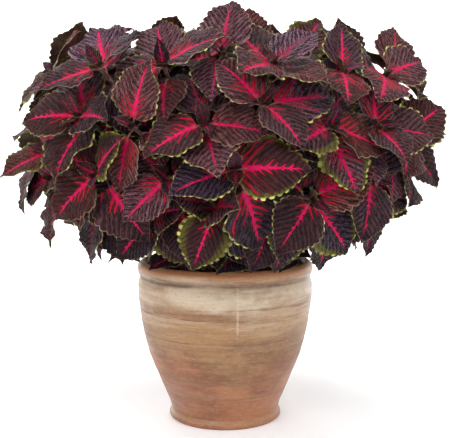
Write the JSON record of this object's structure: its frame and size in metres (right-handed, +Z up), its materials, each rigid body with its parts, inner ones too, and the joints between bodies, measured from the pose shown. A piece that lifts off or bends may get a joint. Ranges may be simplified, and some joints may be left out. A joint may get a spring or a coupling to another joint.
{
  "type": "coleus",
  "caption": "Bushy coleus with toothed dark leaves veined in pink, grown into a broad mound in a round terracotta pot with a rolled rim.",
  "frame": {"origin": "centre of the pot's flat base, on the surface it stands on", "axes": "+Z up along the pot's axis, -Y towards the front, +X to the right as seen from the front"},
  "size_m": [0.7054, 0.6813, 0.6467],
  "materials": {
    "terracotta": "wheel-thrown terracotta with brown bands, a pale lime bloom and a faint sheen",
    "compost": "damp potting compost of peat and bark",
    "foliage": "dark maroon leaves with pink veins, a thin lime edge and a soft satin sheen; fleshy purple-brown stems"
  },
  "bodies": {
    "root": {"pot": "terracotta", "soil": "compost", "leafy_stem_01": "foliage", "leafy_stem_02": "foliage", "leafy_stem_03": "foliage", "leafy_stem_04": "foliage", "leafy_stem_05": "foliage", "leafy_stem_06": "foliage", "leafy_stem_07": "foliage", "leafy_stem_08": "foliage", "leafy_stem_09": "foliage", "leafy_stem_10": "foliage", "leafy_stem_11": "foliage", "leafy_stem_12": "foliage", "leafy_stem_13": "foliage", "leafy_stem_14": "foliage", "leafy_stem_15": "foliage", "leafy_stem_16": "foliage", "leafy_stem_17": "foliage", "leafy_stem_18": "foliage"}
  },
  "joints": []
}
